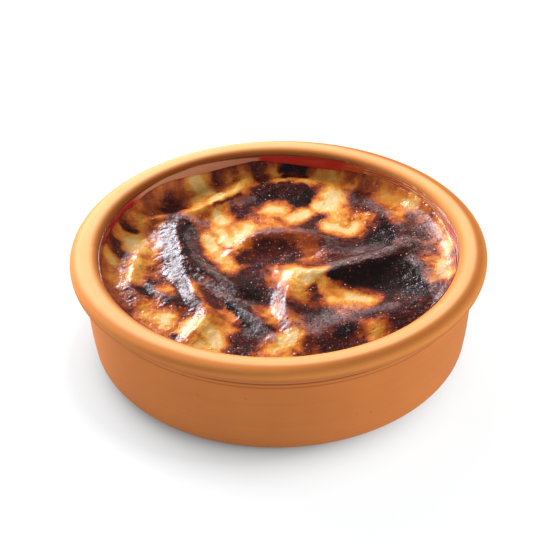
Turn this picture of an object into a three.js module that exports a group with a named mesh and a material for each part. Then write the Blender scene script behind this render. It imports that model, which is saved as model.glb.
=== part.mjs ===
// Baked rice pudding in a low round terracotta dish, millimetres, +Z up.
// The origin is the centre of the dish's flat base, and -Y is the front.
// The dish is one turned piece with a rolled rim and a thin collar under it.
// The pudding fills it to a little under the rim, and its baked skin lies in folds.
import * as THREE from "three";

// Dish
const rimRadius = 62.5; // outermost radius of the rolled rim
const rimTop = 33.4; // height of the rim's crest
const rollHalfWidth = 4.35; // the roll's section is an ellipse
const rollHalfHeight = 2.5;
const rollRadius = rimRadius - rollHalfWidth; // to the middle of the roll
const rollHeight = rimTop - rollHalfHeight;
const collarRadius = 58.9; // thin band where the roll was pressed onto the wall
const collarBottom = 26.1;
const collarStep = 0.5; // height of the little slope under the collar
const collarMeetsRoll = -72; // direction from the roll's middle, degrees
const wallRadius = 58.4; // under the collar
const footRadius = 57.3; // above the rounding to the base
const footRound = 4.4;
const mouthRadius = rollRadius - rollHalfWidth; // inside, at the roll's middle height
const cavityFootRadius = 53; // inside, above the rounding to the floor
const cavityRound = 8;
const cavityFloor = 5.5;

// Pudding
const gap = 0.3; // left between pudding and dish
const skinLevel = rimTop - 8.3; // the skin where it lies flat
const edgeClimb = 3.9; // how far the skin is drawn up the wall
const edgeReach = 1.7; // over this distance from the wall

// Counts
const dishTurns = 72; // straight steps round the dish
const skinTurns = 88; // straight steps round the pudding
const skinRings = 27;
const crestSteps = 8; // straight steps between two points of a crest
const rollSteps = 14;
const roundSteps = 4; // in the dish's two roundings
const wallSteps = 3;

// Each fold is a crest line seen from above, with its height over the flat skin and the
// widths of its flanks. Left and right are as seen when walking along the crest.
const folds = [
  // The long folds on the left
  { height: 3.2, left: 4.2, right: 5.5, crest: [[-29, 27], [-31, 19], [-30, 9], [-27, -1], [-18, -10], [-10, -15]] },
  { height: 2.9, left: 4, right: 3.2, crest: [[-30, 2], [-27, -8], [-24, -18], [-21, -27], [-25, -36]] },
  { height: 1.7, left: 7, right: 2.8, crest: [[-24, -10], [-16, -18], [-8, -27], [-2, -36]] },
  // The small ones by the left wall
  { height: 2.3, left: 3, right: 3.2, crest: [[-42.5, 7], [-43.5, -2], [-43.5, -11], [-40, -18]] },
  { height: 1.4, left: 5.5, right: 2.4, crest: [[-40, -8], [-35, -15], [-29, -21]] },
  // The big wave on the right, its branch down to the front and the low one that closes it off
  { height: 3.6, left: 4.4, right: 6.5, crest: [[40, 6], [31, 0], [22, -5], [13, -7.5], [5, -6.5]] },
  { height: 3.1, left: 5, right: 3.4, crest: [[5, -6.5], [3.5, -14], [2, -23], [3, -31], [6, -38]] },
  { height: 2.6, left: 6.5, right: 8, crest: [[40, 6], [42, -4], [46, -13], [42, -23], [33, -29], [9, -37]] },
  // The bow in the middle
  { height: 2.8, left: 4.6, right: 4, crest: [[-13, 7], [-8, 12], [0, 14], [8, 13], [14, 9], [17, 4]] },
  // Along the back, from left to right
  { height: 2.4, left: 4, right: 3, crest: [[-46, 21], [-37, 25], [-28, 27], [-21, 32], [-15, 38], [-10, 46]] },
  { height: 1.5, left: 3, right: 8, crest: [[-8, 44], [0, 46.5], [10, 46], [17, 43]] },
  { height: 2.4, left: 4.5, right: 9, crest: [[23, 27], [30, 26], [36, 21], [39, 13], [40, 6]] },
];
const foldEnd = 0.6; // a crest's height at its two ends, as a share of its greatest
const flankFall = 1.6; // how fast a flank falls off within its width
const foldBlend = 4; // how sharply folds that meet run into each other
const touching = 1e-6; // a distance that counts as being on the crest

// Shallow hollows between the folds.
const hollows = [
  { x: 29, y: -14, reach: 9, depth: 1.1 },
  { x: 0, y: 4, reach: 8, depth: 1 },
  { x: -18, y: 9, reach: 7, depth: 0.8 },
  { x: -6, y: -20, reach: 6, depth: 0.7 },
  { x: 12, y: -27, reach: 6, depth: 0.6 },
  { x: -36, y: -1, reach: 5, depth: 0.7 },
  { x: -35, y: 34, reach: 7, depth: 0.7 },
];

// Stretches where the skin is drawn further up the wall, or less far: direction and spread in degrees.
const climbs = [
  { direction: 38, spread: 20, extra: 0.9 },
  { direction: 74, spread: 12, extra: -1.2 },
  { direction: 97, spread: 9, extra: 1.1 },
  { direction: 136, spread: 12, extra: 2.2 },
  { direction: 160, spread: 10, extra: 0.6 },
  { direction: 270, spread: 45, extra: -0.9 },
];

// Points of an ellipse's arc, from one direction to another in degrees.
function arc(x, y, halfWidth, halfHeight, from, to, steps) {
  return Array.from({ length: steps + 1 }, (_, i) => {
    const angle = THREE.MathUtils.degToRad(from + ((to - from) * i) / steps);
    return new THREE.Vector2(x + halfWidth * Math.cos(angle), y + halfHeight * Math.sin(angle));
  });
}

function circle(x, y, radius, from, to) {
  return arc(x, y, radius, radius, from, to, roundSteps);
}

// The cavity's radius at a height on its straight wall.
function cavityRadius(height) {
  const roundingTop = cavityFloor + cavityRound;
  return THREE.MathUtils.mapLinear(height, roundingTop, rollHeight, cavityFootRadius, mouthRadius);
}

// The rounding between the cavity's wall and floor, moved inwards by an inset.
function cavityRounding(inset) {
  const middle = cavityFloor + cavityRound;
  return circle(cavityFootRadius - cavityRound, middle, cavityRound - inset, 0, -90);
}

// The outer wall from the foot up to just under the collar, drawn in towards the foot.
function outerWall() {
  const top = collarBottom - collarStep;
  return Array.from({ length: wallSteps }, (_, i) => {
    const up = (i + 1) / wallSteps;
    const radius = THREE.MathUtils.lerp(wallRadius, footRadius, (1 - up) ** 3);
    return new THREE.Vector2(radius, THREE.MathUtils.lerp(footRound, top, up));
  });
}

function dishGeometry() {
  const section = [
    new THREE.Vector2(0, 0),
    ...circle(footRadius - footRound, footRound, footRound, -90, 0),
    ...outerWall(),
    new THREE.Vector2(collarRadius, collarBottom),
    ...arc(rollRadius, rollHeight, rollHalfWidth, rollHalfHeight, collarMeetsRoll, 180, rollSteps),
    ...cavityRounding(0),
    new THREE.Vector2(0, cavityFloor),
  ];
  return new THREE.LatheGeometry(section, dishTurns).rotateX(Math.PI / 2);
}

// A crest as a line of short straight pieces.
function crestLine(crest) {
  const curve = new THREE.CatmullRomCurve3(crest.map(([x, y]) => new THREE.Vector3(x, y, 0)));
  return curve.getPoints((crest.length - 1) * crestSteps);
}

const foldLines = folds.map((fold) => ({ ...fold, line: crestLine(fold.crest) }));

// How high one fold stands at a place: highest on its crest, falling off on both flanks.
function foldHeight(fold, x, y) {
  const pieces = fold.line.length - 1;
  let nearest = Infinity;
  let lean = 0; // 1 straight out to the left of the crest, -1 to its right
  let along = 0;
  for (let i = 0; i < pieces; i += 1) {
    const start = fold.line[i];
    const dx = fold.line[i + 1].x - start.x;
    const dy = fold.line[i + 1].y - start.y;
    const share = ((x - start.x) * dx + (y - start.y) * dy) / (dx * dx + dy * dy);
    const onPiece = THREE.MathUtils.clamp(share, 0, 1);
    const outX = x - start.x - onPiece * dx;
    const outY = y - start.y - onPiece * dy;
    const distance = Math.hypot(outX, outY);
    if (distance < nearest) {
      nearest = distance;
      lean = (dx * outY - dy * outX) / (Math.hypot(dx, dy) * Math.max(distance, touching));
      along = (i + onPiece) / pieces;
    }
  }
  const width = THREE.MathUtils.lerp(fold.right, fold.left, (lean + 1) / 2);
  const crestHeight = fold.height * THREE.MathUtils.lerp(foldEnd, 1, Math.sin(Math.PI * along));
  return crestHeight / Math.cosh((flankFall * nearest) / width);
}

// How far the skin is drawn up the wall in one direction.
function climbAt(direction) {
  return climbs.reduce((height, climb) => {
    const turn = THREE.MathUtils.euclideanModulo(direction - climb.direction + 180, 360) - 180;
    return height + climb.extra * Math.exp(-((turn / climb.spread) ** 2));
  }, edgeClimb);
}

// Height of the baked skin above the table.
function skinHeight(x, y) {
  const blended = foldLines.reduce((sum, fold) => sum + foldHeight(fold, x, y) ** foldBlend, 0);
  const raised = blended ** (1 / foldBlend);
  const sunk = hollows.reduce((sum, hollow) => {
    const distance = Math.hypot(x - hollow.x, y - hollow.y);
    return sum + hollow.depth * Math.exp(-((distance / hollow.reach) ** 2));
  }, 0);
  const direction = THREE.MathUtils.radToDeg(Math.atan2(y, x));
  const fromWall = cavityRadius(skinLevel) - gap - Math.hypot(x, y);
  return skinLevel + raised - sunk + climbAt(direction) * Math.exp(-fromWall / edgeReach);
}

// A closed body from rings of points, between one point above and one point below.
function bodyOfRings(top, rings, bottom) {
  const turns = rings[0].length;
  const positions = [top, ...rings.flat(), bottom].flatMap((point) => point.toArray());
  const at = (ring, turn) => 1 + ring * turns + (turn % turns);
  const lastRing = rings.length - 1;
  const bottomIndex = 1 + rings.length * turns;
  const faces = [];
  for (let turn = 0; turn < turns; turn += 1) {
    faces.push(0, at(0, turn), at(0, turn + 1));
    for (let ring = 0; ring < lastRing; ring += 1) {
      faces.push(at(ring, turn), at(ring + 1, turn), at(ring + 1, turn + 1));
      faces.push(at(ring, turn), at(ring + 1, turn + 1), at(ring, turn + 1));
    }
    faces.push(bottomIndex, at(lastRing, turn + 1), at(lastRing, turn));
  }
  const geometry = new THREE.BufferGeometry();
  geometry.setAttribute("position", new THREE.Float32BufferAttribute(positions, 3));
  geometry.setIndex(faces);
  geometry.computeVertexNormals();
  return geometry;
}

// One full turn of points at a radius, with a height worked out for each.
function ring(radius, heightAt) {
  return Array.from({ length: skinTurns }, (_, turn) => {
    const angle = (2 * Math.PI * turn) / skinTurns;
    const x = radius * Math.cos(angle);
    const y = radius * Math.sin(angle);
    return new THREE.Vector3(x, y, heightAt(x, y));
  });
}

function puddingGeometry() {
  const edgeRadius = cavityRadius(skinLevel) - gap;
  const skin = Array.from({ length: skinRings }, (_, i) => {
    return ring((edgeRadius * (i + 1)) / skinRings, skinHeight);
  });
  const side = cavityRounding(gap).map((point) => ring(point.x, () => point.y));
  const middle = new THREE.Vector3(0, 0, skinHeight(0, 0));
  return bodyOfRings(middle, [...skin, ...side], new THREE.Vector3(0, 0, cavityFloor + gap));
}

const terracotta = new THREE.MeshStandardMaterial({ color: 0xc97f4c, roughness: 0.85, metalness: 0 });
const bakedSkin = new THREE.MeshStandardMaterial({ color: 0x6b3318, roughness: 0.35, metalness: 0 });

const dish = new THREE.Mesh(dishGeometry(), terracotta);
dish.name = "dish";
const pudding = new THREE.Mesh(puddingGeometry(), bakedSkin);
pudding.name = "pudding";

const bakedRicePudding = new THREE.Group();
bakedRicePudding.add(dish, pudding);

export default bakedRicePudding;
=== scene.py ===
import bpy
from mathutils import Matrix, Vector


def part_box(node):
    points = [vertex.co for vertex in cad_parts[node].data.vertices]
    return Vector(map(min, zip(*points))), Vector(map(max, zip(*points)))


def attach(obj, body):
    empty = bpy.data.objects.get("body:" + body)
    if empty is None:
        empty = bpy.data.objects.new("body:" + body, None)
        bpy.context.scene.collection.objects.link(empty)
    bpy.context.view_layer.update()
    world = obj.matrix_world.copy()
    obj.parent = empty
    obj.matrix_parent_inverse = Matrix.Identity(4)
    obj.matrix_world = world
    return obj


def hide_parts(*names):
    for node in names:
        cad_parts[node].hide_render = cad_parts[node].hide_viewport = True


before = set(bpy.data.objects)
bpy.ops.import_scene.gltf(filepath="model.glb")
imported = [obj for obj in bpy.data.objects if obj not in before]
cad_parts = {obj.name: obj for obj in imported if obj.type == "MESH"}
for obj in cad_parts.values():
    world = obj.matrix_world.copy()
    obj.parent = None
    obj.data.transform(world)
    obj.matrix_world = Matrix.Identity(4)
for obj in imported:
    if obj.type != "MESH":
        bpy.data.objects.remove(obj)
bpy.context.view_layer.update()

import math

import bpy
import numpy as np
from mathutils import Matrix, Vector

# A baked rice pudding in a round terracotta dish. Sizes are in millimetres until a mesh is made, and in
# metres in the node trees. +X is right, -Y is the front, and z = 0 is the surface that the dish stands on.
mm = 0.001
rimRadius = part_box("dish")[1].x / mm
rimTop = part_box("dish")[1].z / mm
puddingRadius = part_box("pudding")[1].x / mm
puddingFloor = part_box("pudding")[0].z / mm


def noise(x, y, cell, seed):
    # smooth noise from 0 to 1, with one random value at each corner of a square cell
    size = 64
    values = np.random.default_rng(seed).random((size, size))
    u, v = np.asarray(x) / cell, np.asarray(y) / cell
    column, row = np.floor(u).astype(int), np.floor(v).astype(int)
    s, t = u - column, v - row
    s, t = s * s * (3 - 2 * s), t * t * (3 - 2 * t)
    left, right = column % size, (column + 1) % size
    low, high = row % size, (row + 1) % size
    bottom = values[left, low] * (1 - s) + values[right, low] * s
    top = values[left, high] * (1 - s) + values[right, high] * s
    return bottom * (1 - t) + top * t


def ripple(x, y, cell, seed):
    # noise about zero, from four octaves that are each turned against the last
    finer, weaker = 1.9, 0.62
    total = np.zeros(np.shape(x))
    for octave in range(4):
        turn = 0.6 + 1.1 * octave + seed
        u = x * math.cos(turn) - y * math.sin(turn)
        v = x * math.sin(turn) + y * math.cos(turn)
        total += (noise(u, v, cell / finer**octave, seed + octave) - 0.5) * weaker**octave
    return total


def smooth(value, low, high):
    t = np.clip((value - low) / (high - low), 0, 1)
    return t * t * (3 - 2 * t)


def curveThrough(points, steps=10):
    # a smooth line through a few points, given as x, y, x, y, as short straight pieces
    p = np.array(points, float).reshape(-1, 2)
    if len(p) < 3:
        return p
    ends = np.vstack([2 * p[0] - p[1], p, 2 * p[-1] - p[-2]])
    t = np.linspace(0, 1, steps, endpoint=False)[:, None]
    line = []
    for before, start, end, after in zip(ends, ends[1:], ends[2:], ends[3:]):
        a, b = (end - before) / 2, (after - start) / 2
        square = 3 * (end - start) - 2 * a - b
        cube = 2 * (start - end) + a + b
        line.append(start + a * t + square * t**2 + cube * t**3)
    return np.vstack(line + [p[-1:]])


def nearLine(line, x, y):
    # distance to the line, side (1 left, -1 right) and how far along it, from 0 to 1
    nearest = np.full(x.shape, np.inf)
    side, along = np.zeros(x.shape), np.zeros(x.shape)
    if len(line) == 1:
        return np.hypot(x - line[0][0], y - line[0][1]), side, along
    for i, (start, end) in enumerate(zip(line, line[1:])):
        dx, dy = end - start
        length = math.hypot(dx, dy)
        share = np.clip(((x - start[0]) * dx + (y - start[1]) * dy) / length**2, 0, 1)
        outX, outY = x - start[0] - share * dx, y - start[1] - share * dy
        distance = np.hypot(outX, outY)
        closer = distance < nearest
        nearest = np.where(closer, distance, nearest)
        lean = (dx * outY - dy * outX) / (length * np.maximum(distance, 1e-6))
        side = np.where(closer, lean, side)
        along = np.where(closer, (i + share) / (len(line) - 1), along)
    return nearest, side, along


def meshPiece(name, points, faces, material, attributes=None):
    mesh = bpy.data.meshes.new(name)
    mesh.from_pydata((np.asarray(points) * mm).tolist(), [], faces)
    mesh.polygons.foreach_set("use_smooth", [True] * len(mesh.polygons))
    for key, values in (attributes or {}).items():
        mesh.attributes.new(key, "FLOAT", "POINT").data.foreach_set("value", np.asarray(values, np.float32))
    mesh.materials.append(material)
    mesh.validate()
    piece = bpy.data.objects.new(name, mesh)
    bpy.context.scene.collection.objects.link(piece)
    return piece


class Nodes:
    # short ways to build a node tree
    def __init__(self, tree):
        self.tree = tree
        tree.nodes.clear()

    def add(self, kind, inputs=None, **settings):
        node = self.tree.nodes.new(kind)
        for key, value in settings.items():
            setattr(node, key, value)
        for key, value in (inputs or {}).items():
            self.put(node.inputs[key], value)
        return node

    def put(self, socket, value):
        # links the first output of a node, or links a socket, or sets a constant
        if isinstance(value, bpy.types.Node):
            value = value.outputs[0]
        if isinstance(value, bpy.types.NodeSocket):
            self.tree.links.new(value, socket)
        else:
            socket.default_value = value

    def math(self, operation, a, b=0.0, c=0.0):
        return self.add("ShaderNodeMath", {0: a, 1: b, 2: c}, operation=operation)

    def times(self, product, *others):
        for other in others:
            product = self.math("MULTIPLY", product, other)
        return product

    def plus(self, a, b):
        return self.math("ADD", a, b)

    def minus(self, a, b):
        return self.math("SUBTRACT", a, b)

    def timesPlus(self, a, b, c):
        return self.math("MULTIPLY_ADD", a, b, c)

    def apart(self, a, b):
        return self.math("ABSOLUTE", self.minus(a, b))

    def span(self, value, low, high, toLow=0.0, toHigh=1.0):
        # runs from toLow to toHigh while the value runs from low to high, and stays there outside
        inputs = {"Value": value, "From Min": low, "From Max": high, "To Min": toLow, "To Max": toHigh}
        return self.add("ShaderNodeMapRange", inputs)

    def place(self):
        return self.add("ShaderNodeTexCoord").outputs["Object"]

    def split(self, vector):
        return self.add("ShaderNodeSeparateXYZ", {"Vector": vector}).outputs

    def vector(self, x, y, z=0.0):
        return self.add("ShaderNodeCombineXYZ", {"X": x, "Y": y, "Z": z})

    def measure(self, operation, a, b=(0, 0, 0)):
        return self.add("ShaderNodeVectorMath", {0: a, 1: b}, operation=operation).outputs["Value"]

    def attribute(self, name):
        return self.add("ShaderNodeAttribute", attribute_name=name).outputs["Fac"]

    def cloud(self, place, scale, detail=2.0, roughness=0.5):
        inputs = {"Vector": place, "Scale": scale, "Detail": detail, "Roughness": roughness}
        return self.add("ShaderNodeTexNoise", inputs).outputs["Fac"]

    def mix(self, factor, a, b, blend="MIX"):
        inputs = {0: factor, 6: a, 7: b}
        return self.add("ShaderNodeMix", inputs, data_type="RGBA", blend_type=blend).outputs[2]

    def ramp(self, factor, stops):
        node = self.add("ShaderNodeValToRGB", {"Fac": factor})
        bar = node.color_ramp
        while len(bar.elements) < len(stops):
            bar.elements.new(0.5)
        for element, (place, colour) in zip(bar.elements, stops):
            element.position = place
            element.color = (*colour, 1)
        return node.outputs["Color"]

    def bump(self, height, strength, distance):
        inputs = {"Height": height, "Strength": strength, "Distance": distance}
        return self.add("ShaderNodeBump", inputs).outputs["Normal"]

    def surface(self, inputs):
        shader = self.add("ShaderNodeBsdfPrincipled", inputs)
        self.add("ShaderNodeOutputMaterial", {"Surface": shader})


def newMaterial(name):
    material = bpy.data.materials.new(name)
    material.use_nodes = True
    return material, Nodes(material.node_tree)


# the sockets of node groups that are not plain numbers
socketTypes = {
    "Vector": "Vector",
    "Geometry": "Geometry",
    "Material": "Material",
    "Turns": "Int",
    "Seed": "Int",
    "Inside Out": "Bool",
}


def newGroup(name, kind, inputs, outputs):
    # a node group, with its builder, what it is given and what it hands on
    group = bpy.data.node_groups.new(name, kind)
    for direction, sockets in (("INPUT", inputs), ("OUTPUT", outputs)):
        for socket in sockets:
            socketType = "NodeSocket" + socketTypes.get(socket, "Float")
            group.interface.new_socket(socket, in_out=direction, socket_type=socketType)
    nodes = Nodes(group)
    return group, nodes, nodes.add("NodeGroupInput").outputs, nodes.add("NodeGroupOutput").inputs


def grown(piece, tree, values):
    # runs a geometry node tree on a piece and keeps the result as its plain mesh, with one material
    modifier = piece.modifiers.new("grown", "NODES")
    modifier.node_group = tree
    sockets = {item.name: item.identifier for item in tree.interface.items_tree if item.in_out == "INPUT"}
    for name, value in values.items():
        modifier[sockets[name]] = value
    evaluated = piece.evaluated_get(bpy.context.evaluated_depsgraph_get())
    mesh = bpy.data.meshes.new_from_object(evaluated)
    piece.modifiers.remove(modifier)
    old = piece.data
    piece.data = mesh
    bpy.data.meshes.remove(old)
    mesh.name = piece.name
    mesh.materials.clear()
    mesh.materials.append(values["Material"])
    mesh.polygons.foreach_set("material_index", [0] * len(mesh.polygons))
    return piece


def makeGrainGroup():
    # fine grain with sparse pits, used by the clay, the glaze, the skin and the blisters
    inputs = ["Vector", "Grain Size", "Pit Size", "Pit Share", "Pit Depth"]
    outputs = ["Height", "Mottle", "Pits"]
    group, nodes, given, result = newGroup("grain", "ShaderNodeTree", inputs, outputs)
    cells = nodes.add("ShaderNodeTexVoronoi", {"Vector": given["Vector"], "Scale": given["Pit Size"]})
    chosen = nodes.add("ShaderNodeSeparateColor", {"Color": cells.outputs["Color"]}).outputs["Red"]
    isPit = nodes.math("LESS_THAN", chosen, given["Pit Share"])
    pits = nodes.times(isPit, nodes.span(cells.outputs["Distance"], 0.12, 0.38, 1.0, 0.0))
    fine = nodes.cloud(given["Vector"], given["Grain Size"], 3.0)
    nodes.put(result["Height"], nodes.minus(fine, nodes.times(pits, given["Pit Depth"])))
    nodes.put(result["Mottle"], nodes.cloud(given["Vector"], nodes.times(given["Grain Size"], 0.05), 4.0))
    nodes.put(result["Pits"], pits)
    return group


grainGroup = makeGrainGroup()


def addGrain(nodes, size, pitSize, pitShare, pitDepth):
    # the numbers are cells per metre, the share of cells that hold a pit, and how deep a pit is
    inputs = {"Grain Size": size, "Pit Size": pitSize, "Pit Share": pitShare, "Pit Depth": pitDepth}
    return nodes.add("ShaderNodeGroup", {"Vector": nodes.place(), **inputs}, node_tree=grainGroup).outputs


view = {
    "distance": 450,
    "elevation": 35.7,
    "roll": -1.07,
    "lens": 95.4,
    "shiftX": -0.0036,
    "shiftY": 0.0184,
}


def makeCamera():
    data = bpy.data.cameras.new("camera")
    data.lens = view["lens"]
    data.sensor_width = 36
    data.shift_x, data.shift_y = view["shiftX"], view["shiftY"]
    data.clip_start, data.clip_end = 0.01, 20
    camera = bpy.data.objects.new("camera", data)
    bpy.context.scene.collection.objects.link(camera)
    elevation, roll = math.radians(view["elevation"]), math.radians(view["roll"])
    back = Vector((0, -math.cos(elevation), math.sin(elevation)))
    level = Vector((1, 0, 0))
    upright = back.cross(level)
    right = level * math.cos(roll) + upright * math.sin(roll)
    up = back.cross(right)
    turn = Matrix((right, up, back)).transposed().to_4x4()
    target = Vector((0, 0, rimTop / 2)) * mm
    camera.matrix_world = Matrix.Translation(target + back * view["distance"] * mm) @ turn
    bpy.context.scene.camera = camera


studio = {
    "world": (1.0, 0.98, 0.96),
    "worldStrength": 0.1,
    "keyTint": (0.9, 0.91, 1.0),
    # name: azimuth (0 front, 90 right, 180 back), elevation, distance, width, height, power, seen in gloss
    "softboxes": {
        "key": (-141, 25, 0.9, 0.62, 0.24, 8.0, True),
        "keyFill": (-142, 25, 0.9, 0.6, 0.4, 8.0, False),
        "back": (-160, 38, 1.2, 1.1, 0.5, 16.0, False),
        "backVeil": (180, 22, 1.4, 1.6, 0.4, 0.3, True),
        "rightLow": (78, 16, 1.0, 0.5, 0.4, 5.6, False),
        "leftLow": (-80, 24, 1.1, 0.5, 0.4, 3.0, False),
        "front": (18, 24, 1.2, 1.0, 0.6, 2.0, False),
    },
    "floorReach": 4000,
    "floorColour": (0.16, 0.16, 0.16),
    "floorGlow": 0.93,
    "floorGlowColour": (0.985, 0.995, 1),
    # a painted contact shadow: the floor's glow darkens close to the dish, in two rings: x and y of the
    # middle, full and faded radius in mm, how much and how suddenly
    "contactShades": [(-3, -6, 48, 70, 0.56, 3.6), (-14, -10, 50, 72, 0.26, 2.0)],
}


def makeLights():
    world = bpy.data.worlds.new("world")
    bpy.context.scene.world = world
    world.use_nodes = True
    backdrop = world.node_tree.nodes["Background"]
    backdrop.inputs["Color"].default_value = (*studio["world"], 1)
    backdrop.inputs["Strength"].default_value = studio["worldStrength"]
    bpy.context.scene.view_settings.view_transform = "Standard"
    for name, (azimuth, elevation, distance, width, height, power, inGloss) in studio["softboxes"].items():
        data = bpy.data.lights.new(name, "AREA")
        data.shape = "RECTANGLE"
        data.size, data.size_y = width, height
        data.energy = power
        if name == "key":
            data.color = studio["keyTint"]
        lamp = bpy.data.objects.new(name, data)
        bpy.context.scene.collection.objects.link(lamp)
        a, e = math.radians(azimuth), math.radians(elevation)
        towards = Vector((math.sin(a) * math.cos(e), -math.cos(a) * math.cos(e), math.sin(e)))
        lamp.location = towards * distance
        lamp.rotation_mode = "QUATERNION"
        lamp.rotation_quaternion = towards.to_track_quat("Z", "Y")
        lamp.visible_camera = False
        lamp.visible_glossy = inGloss


def makeFloor():
    material, nodes = newMaterial("floorPaper")
    # painted contact shadow: the floor's glow is dimmed close to the dish
    shade = 1.0
    for x, y, start, end, depth, power in studio["contactShades"]:
        away = nodes.measure("DISTANCE", nodes.place(), (x * mm, y * mm, 0))
        near = nodes.span(away, start * mm, end * mm, 1.0, 0.0)
        shade = nodes.timesPlus(nodes.math("POWER", near, power), -depth, shade)
    nodes.surface({
        "Base Color": (*studio["floorColour"], 1),
        "Roughness": 0.9,
        "Normal": nodes.bump(nodes.cloud(nodes.place(), 900.0), 0.05, 0.0002),
        "Specular IOR Level": 0.0,
        "Emission Color": (*studio["floorGlowColour"], 1),
        "Emission Strength": nodes.times(shade, studio["floorGlow"]),
    })
    far = studio["floorReach"]
    corners = [(-far, -far, 0), (far, -far, 0), (far, far, 0), (-far, far, 0)]
    meshPiece("floor", corners, [(0, 1, 2, 3)], material)


makeCamera()
makeLights()
makeFloor()
print("camera, lights and floor")

dish = {
    "turns": 256,
    "rollHalfWidth": 4.35,
    "rollHalfHeight": 2.5,
    "rollFullness": 2.5,
    "collarRadius": 59.05,
    "collarTop": 28.25,
    "collarBottom": 26.3,
    "grooveRadius": 58.2,
    "wallRadius": 58.4,
    "footRadius": 57.3,
    "footRound": 4.4,
    "cavityFootRadius": 53.0,
    "cavityRound": 8.0,
    "cavityFloor": 5.5,
    "outOfRound": 0.12,
    "rimWaver": 0.14,
    "fingerDepth": 0.012,
    "fingerSpacing": 2.3,
    "glazeThickness": 0.22,
    "glazeFoot": 20.0,
    "glazeEdge": 31.9,
    "glazeEdgeWaver": 0.25,
}
dish["rollRadius"] = rimRadius - dish["rollHalfWidth"]
dish["rollHeight"] = rimTop - dish["rollHalfHeight"]
dish["mouthRadius"] = dish["rollRadius"] - dish["rollHalfWidth"]


def arc(x, z, halfWidth, halfHeight, start, end, steps, fullness=2.0):
    # part of an ellipse, or with more fullness than 2 of a squarer oval
    angles = np.radians(np.linspace(start, end, steps + 1))
    c, s = np.cos(angles), np.sin(angles)
    swell = (np.abs(c) ** fullness + np.abs(s) ** fullness) ** (-1 / fullness)
    return np.stack([x + halfWidth * c * swell, z + halfHeight * s * swell], 1)


def cavityRadius(z):
    top, bottom = dish["rollHeight"], dish["cavityFloor"] + dish["cavityRound"]
    share = (z - bottom) / (top - bottom)
    return dish["cavityFootRadius"] + (dish["mouthRadius"] - dish["cavityFootRadius"]) * share


def cavitySection(inset, top, steps=36, roundSteps=12):
    # down the inside wall, round its foot and in to the middle of the floor
    rounding, foot = dish["cavityRound"], dish["cavityFootRadius"]
    heights = np.linspace(top, dish["cavityFloor"] + rounding, steps, endpoint=False)
    wall = np.stack([cavityRadius(heights) - inset, heights], 1)
    centre = (foot - rounding, dish["cavityFloor"] + rounding)
    turn = arc(*centre, rounding - inset, rounding - inset, 0, -90, roundSteps)
    floor = [(radius, dish["cavityFloor"] + inset) for radius in (30, 14, 4, 0)]
    return np.vstack([wall, turn, floor])


def dishSection():
    foot, base = dish["footRadius"], dish["footRound"]
    bottom = [(radius, 0) for radius in (0, 4, 16, 34, 48)]
    rounding = arc(foot - base, base, base, base, -90, 0, 14)
    heights = np.linspace(base, dish["collarBottom"] - 0.3, 70)[1:]
    up = (heights - base) / (dish["collarBottom"] - base)
    wall = np.stack([dish["wallRadius"] + (foot - dish["wallRadius"]) * (1 - up) ** 3, heights], 1)
    middle = (dish["collarTop"] + dish["collarBottom"]) / 2
    half = (dish["collarTop"] - dish["collarBottom"]) / 2
    reach = dish["collarRadius"] - dish["grooveRadius"]
    collar = arc(dish["grooveRadius"], middle, reach, half, -80, 80, 12)
    size = dish["rollHalfWidth"], dish["rollHalfHeight"]
    roll = arc(dish["rollRadius"], dish["rollHeight"], *size, -82, 180, 64, dish["rollFullness"])
    return np.vstack([bottom, rounding, wall, collar, roll, cavitySection(0, dish["rollHeight"] - 0.3)])


def wave(nodes, angle, terms):
    # a sum of sines of the angle: how many waves, phase and strength of each
    total = 0.0
    for waves, phase, strength in terms:
        sine = nodes.math("SINE", nodes.timesPlus(angle, waves, phase))
        total = nodes.timesPlus(sine, strength, total)
    return total


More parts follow.
